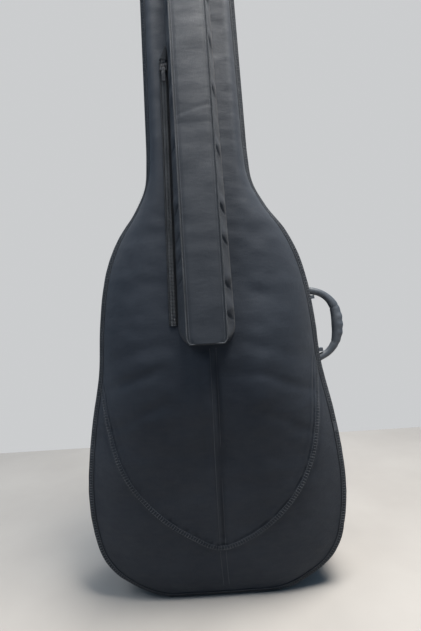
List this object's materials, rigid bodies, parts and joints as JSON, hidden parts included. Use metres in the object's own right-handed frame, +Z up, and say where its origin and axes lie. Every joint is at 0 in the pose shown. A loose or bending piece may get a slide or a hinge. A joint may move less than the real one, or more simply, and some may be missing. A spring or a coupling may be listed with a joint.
{
  "type": "cello case",
  "caption": "Soft padded cello case with a zipped hinged front, a bow pocket, carrying handles, shoulder straps and an inner neck cradle, standing upright on its flat base.",
  "frame": {"origin": "middle of the underside of the wear patch on the base, where the standing case meets the floor", "axes": "+Z up along the case from its base to its neck end, +Y from the domed front to the back with the shoulder straps, +X toward the side wall with the carrying handle"},
  "size_m": [0.5448, 0.3513, 1.3306],
  "materials": {
    "shell_cloth": "woven nylon, matt",
    "side_cloth": "woven nylon, matt",
    "binding_tape": "ribbed tape, matt",
    "zip_tape": "woven tape, matt",
    "zip_coil": "moulded coil",
    "slider_metal": "black enamel",
    "handle_rubber": "moulded, satin",
    "black_plastic": "moulded, satin",
    "webbing": "woven webbing, matt",
    "ring_metal": "black enamel",
    "foam": "foam under brushed cloth",
    "wear_patch": "pebbled sheet, matt"
  },
  "bodies": {
    "case": {"back_panel": "side_cloth", "base_patch": "wear_patch", "binding_back": "binding_tape", "binding_front_lower": "binding_tape", "endpin_cup": "black_plastic", "front_left_lower": "shell_cloth", "front_right_lower": "shell_cloth", "grab_patch": "webbing", "gusset_left": "side_cloth", "gusset_right": "side_cloth", "gusset_lower": "side_cloth", "handle_anchor_bottom": "handle_rubber", "handle_anchor_top": "handle_rubber", "lower_patch": "side_cloth", "neck_cradle": "foam", "neck_strap_fixed": "webbing", "strap_tab_left": "webbing", "strap_tab_right": "webbing", "strap_yoke": "webbing", "zip_tape_rear": "zip_tape", "zip_coil_rear": "zip_coil", "zip_end_left": "zip_tape", "zip_end_right": "zip_tape"},
    "lid": {"binding_front_upper": "binding_tape", "bridge_guard": "foam", "front_left": "shell_cloth", "front_right": "shell_cloth", "front_strip": "shell_cloth", "pocket_coil_lid": "zip_coil", "pocket_gusset_bottom": "shell_cloth", "pocket_gusset_right": "shell_cloth", "pocket_gusset_top": "shell_cloth", "pocket_zip_tape_lid": "zip_tape", "zip_coil_front": "zip_coil", "zip_tape_front": "zip_tape"},
    "pocket_flap": {"pocket_face": "shell_cloth", "pocket_gusset_left": "shell_cloth", "pocket_piping": "binding_tape", "pocket_zip_tape_flap": "zip_tape", "pocket_coil_flap": "zip_coil"},
    "main_slider_upper": {"main_slider_upper": "slider_metal"},
    "main_slider_lower": {"main_slider_lower": "slider_metal"},
    "main_pull_upper": {"main_pull_upper": "slider_metal"},
    "main_pull_lower": {"main_pull_lower": "slider_metal"},
    "pocket_slider": {"pocket_slider": "slider_metal"},
    "pocket_pull": {"pocket_pull": "slider_metal"},
    "carry_handle": {"carry_handle": "handle_rubber"},
    "grab_handle": {"grab_handle": "webbing"},
    "strap_ring_left": {"strap_ring_left": "ring_metal"},
    "strap_ring_right": {"strap_ring_right": "ring_metal"},
    "neck_strap_flap": {"neck_strap_flap": "webbing"},
    "strap_left": {"strap_pad_left": "shell_cloth", "strap_buckle_left": "black_plastic", "strap_webbing_left": "webbing", "strap_hook_left": "black_plastic"},
    "strap_right": {"strap_pad_right": "shell_cloth", "strap_buckle_right": "black_plastic", "strap_webbing_right": "webbing", "strap_hook_right": "black_plastic"}
  },
  "joints": [
    {"name": "lid_hinge", "type": "hinge", "parent": "case", "child": "lid", "pos_m": [0, -0.17711, 0.3156], "axis": [1, 0, 0], "range_deg": [0, 105]},
    {"name": "pocket_flap_hinge", "type": "hinge", "parent": "lid", "child": "pocket_flap", "pos_m": [0.0334, -0.22756, 0.4976], "axis": [0, 0.1118, 0.9937], "range_deg": [0, 25]},
    {"name": "main_slider_upper_track", "type": "slide", "parent": "case", "child": "main_slider_upper", "axis": [-0.0212, 0, 0.9998], "range_m": [0, 0.105]},
    {"name": "main_slider_lower_track", "type": "slide", "parent": "case", "child": "main_slider_lower", "axis": [0.0212, 0, -0.9998], "range_m": [0, 0.14]},
    {"name": "main_pull_upper_hinge", "type": "hinge", "parent": "main_slider_upper", "child": "main_pull_upper", "pos_m": [0.09245, -0.0631, 1.1106], "axis": [0, -1, 0], "range_deg": [0, 160]},
    {"name": "main_pull_lower_hinge", "type": "hinge", "parent": "main_slider_lower", "child": "main_pull_lower", "pos_m": [0.09361, -0.0631, 1.0556], "axis": [0, -1, 0], "range_deg": [0, 160]},
    {"name": "pocket_slider_track", "type": "slide", "parent": "pocket_flap", "child": "pocket_slider", "axis": [-0.0135, -0.1118, -0.9936], "range_m": [0, 0.455]},
    {"name": "pocket_pull_hinge", "type": "hinge", "parent": "pocket_slider", "child": "pocket_pull", "pos_m": [-0.04966, -0.14838, 0.99904], "axis": [-0.9999, 0.0015, 0.0134], "range_deg": [0, 160]},
    {"name": "carry_handle_hinge", "type": "hinge", "parent": "case", "child": "carry_handle", "pos_m": [0.22957, -0.0025, 0.43882], "axis": [-0.1013, 0, 0.9949], "range_deg": [-70, 70]},
    {"name": "grab_handle_hinge", "type": "hinge", "parent": "case", "child": "grab_handle", "pos_m": [0, 0.05286, 1.0906], "axis": [0, 0, 1], "range_deg": [-60, 60]},
    {"name": "strap_left_hinge", "type": "hinge", "parent": "case", "child": "strap_left", "pos_m": [-0.072, 0.0989, 0.6556], "axis": [1, 0, 0], "range_deg": [0, 95]},
    {"name": "strap_right_hinge", "type": "hinge", "parent": "case", "child": "strap_right", "pos_m": [0.072, 0.0989, 0.6556], "axis": [1, 0, 0], "range_deg": [0, 95]},
    {"name": "strap_ring_left_hinge", "type": "hinge", "parent": "case", "child": "strap_ring_left", "pos_m": [-0.1498, 0.09542, 0.18681], "axis": [0.9865, 0, -0.1637], "range_deg": [0, 135]},
    {"name": "strap_ring_right_hinge", "type": "hinge", "parent": "case", "child": "strap_ring_right", "pos_m": [0.1498, 0.09542, 0.18681], "axis": [0.9865, 0, 0.1637], "range_deg": [0, 135]},
    {"name": "neck_strap_hinge", "type": "hinge", "parent": "case", "child": "neck_strap_flap", "pos_m": [0.08157, -0.0332, 1.0756], "axis": [0, 0, 1], "range_deg": [0, 45]}
  ]
}
